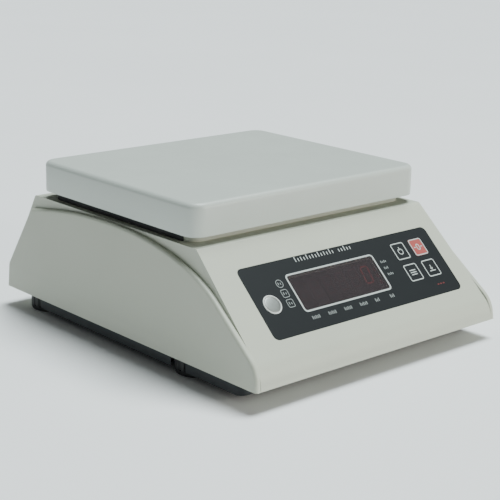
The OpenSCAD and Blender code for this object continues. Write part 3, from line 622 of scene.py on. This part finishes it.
def display_digits():
    """Six numerals, of which only the last is lit, as a zero; the unlit ones carry a faint painted glow."""
    on, off = bmesh.new(), bmesh.new()
    for i in range(DIGIT_COUNT):
        digit(on, off, i, "abcdef" if i == DIGIT_COUNT - 1 else "")
    finish_piece("digit_lit", on, SEGMENT_ON, "root")
    finish_piece("digits_unlit", off, SEGMENT_OFF_PAINTED_GLOW, "root")


def level_details():
    """The round level: a rounded white ring about a low silver cap."""
    x, s = LEVEL
    ring = bmesh.new()
    bore_r = VIAL_R + LEVEL_GAP
    half, middle = (LEVEL_RING_R - bore_r) / 2, (LEVEL_RING_R + bore_r) / 2
    section = [(middle + half * math.cos(math.radians(a)),
                LEVEL_GAP + 0.5 * math.sin(math.radians(a)))
               for a in range(0, 181, 20)]
    loft(ring, [[on_slope(x + p[0], s - p[1], n) for p in circle(r, 60)]
                for r, n in section], closed_path=True)
    finish_piece("level_ring_skin", ring, MATERIALS["white_plastic"], "root", 60.0,
                 ("level_ring",))
    cap = bmesh.new()
    rings = []
    for a in range(0, 81, 10):
        rise, run = math.sin(math.radians(a)), math.cos(math.radians(a))
        rings.append([on_slope(x + p[0], s - p[1], KEY_TOP_N + 0.02 + 0.45 * rise)
                      for p in circle((VIAL_R - 0.15) * run, 60)])
    loft(cap, rings)
    finish_piece("level_cap", cap, MATERIALS["vial"], "root", 60.0)


# ---- build ----
def cad_finishes():
    """Every CAD node takes the material of its own slot."""
    slots = {row["node"]: row["material_slot"] for row in frame["record"]["subparts"]}
    for name, node in frame["nodes"].items():
        node.data.materials.clear()
        node.data.materials.append(MATERIALS[slots[name]])
        node.data.shade_smooth()
        node.data.set_sharp_from_angle(angle=math.radians(32))


def camera():
    az, el, roll = (math.radians(a) for a in (VIEW_AZIMUTH, VIEW_ELEVATION, VIEW_ROLL))
    back = Vector((math.sin(az) * math.cos(el), -math.cos(az) * math.cos(el), math.sin(el)))
    side = Vector((math.cos(az), math.sin(az), 0))
    up = back.cross(side)
    right = side * math.cos(roll) + up * math.sin(roll)
    up = back.cross(right)
    place = Vector(VIEW_TARGET) + back * VIEW_DISTANCE
    data = bpy.data.cameras.new("camera")
    data.lens = LENS
    data.sensor_width = 36.0
    cam = bpy.data.objects.new("camera", data)
    cam.matrix_world = Matrix(((right.x, up.x, back.x, place.x), (right.y, up.y, back.y, place.y),
                               (right.z, up.z, back.z, place.z), (0, 0, 0, 1)))
    bpy.context.scene.collection.objects.link(cam)
    bpy.context.scene.camera = cam


def lamp(name, kind, place, target, spread, energy, color):
    """A light at place, aimed at target; spread is its size, or the angle of a sun."""
    data = bpy.data.lights.new(name, kind)
    if kind == "SUN":
        data.angle = spread
    else:
        data.size = spread
    data.energy = energy
    data.color = color
    light = bpy.data.objects.new(name, data)
    light.location = place
    light.rotation_euler = (Vector(target) - Vector(place)).to_track_quat("-Z", "Y").to_euler()
    bpy.context.scene.collection.objects.link(light)


def studio():
    world = bpy.data.worlds.new("studio")
    world.use_nodes = True
    world.node_tree.nodes["Background"].inputs["Color"].default_value = (0.93, 0.98, 1.0, 1)
    world.node_tree.nodes["Background"].inputs["Strength"].default_value = 0.14
    bpy.context.scene.world = world
    lamp("key", "AREA", place=(1.0, -1.9, 0.5), target=(0, 0, 0.05), spread=0.8, energy=25,
         color=(1.0, 0.97, 0.89))
    lamp("top", "SUN", place=(0.33, 0.06, 1.0), target=(0, 0, 0), spread=0.5, energy=5.1,
         color=(0.88, 0.98, 1.0))
    mesh = bpy.data.meshes.new("floor")
    half = FLOOR_HALF
    mesh.from_pydata([(-half, -half, 0), (half, -half, 0), (half, half, 0), (-half, half, 0)], [],
                     [(0, 1, 2, 3)])
    floor = bpy.data.objects.new("floor", mesh)
    bpy.context.scene.collection.objects.link(floor)
    mat, tree, shader = node_material("pale_floor")
    tree.links.new(tinted(tree, (0.93, 0.93, 0.93), object_noise(tree, 3.0), 0.01),
                   shader.inputs["Base Color"])
    shader.inputs["Roughness"].default_value = 0.9
    mesh.materials.append(mat)


camera()
studio()
cad_finishes()
refined("upper_housing", 0.9, "housing")
cheek(-1, "left_cheek")
cheek(1, "right_cheek")
refined("base_tray", 0.7, "tray")
weighing_pan()
refined("panel_overlay", 0.12, "panel", segments=2)
panel_print()
panel_fine_print()
red_mark()
for key in ("key_off", "key_on_zero", "key_set", "key_tare"):
    refined(key, 0.15, "key_red" if key == "key_on_zero" else "key_dark", key, segments=2)
key_prints()
display_digits()
level_details()
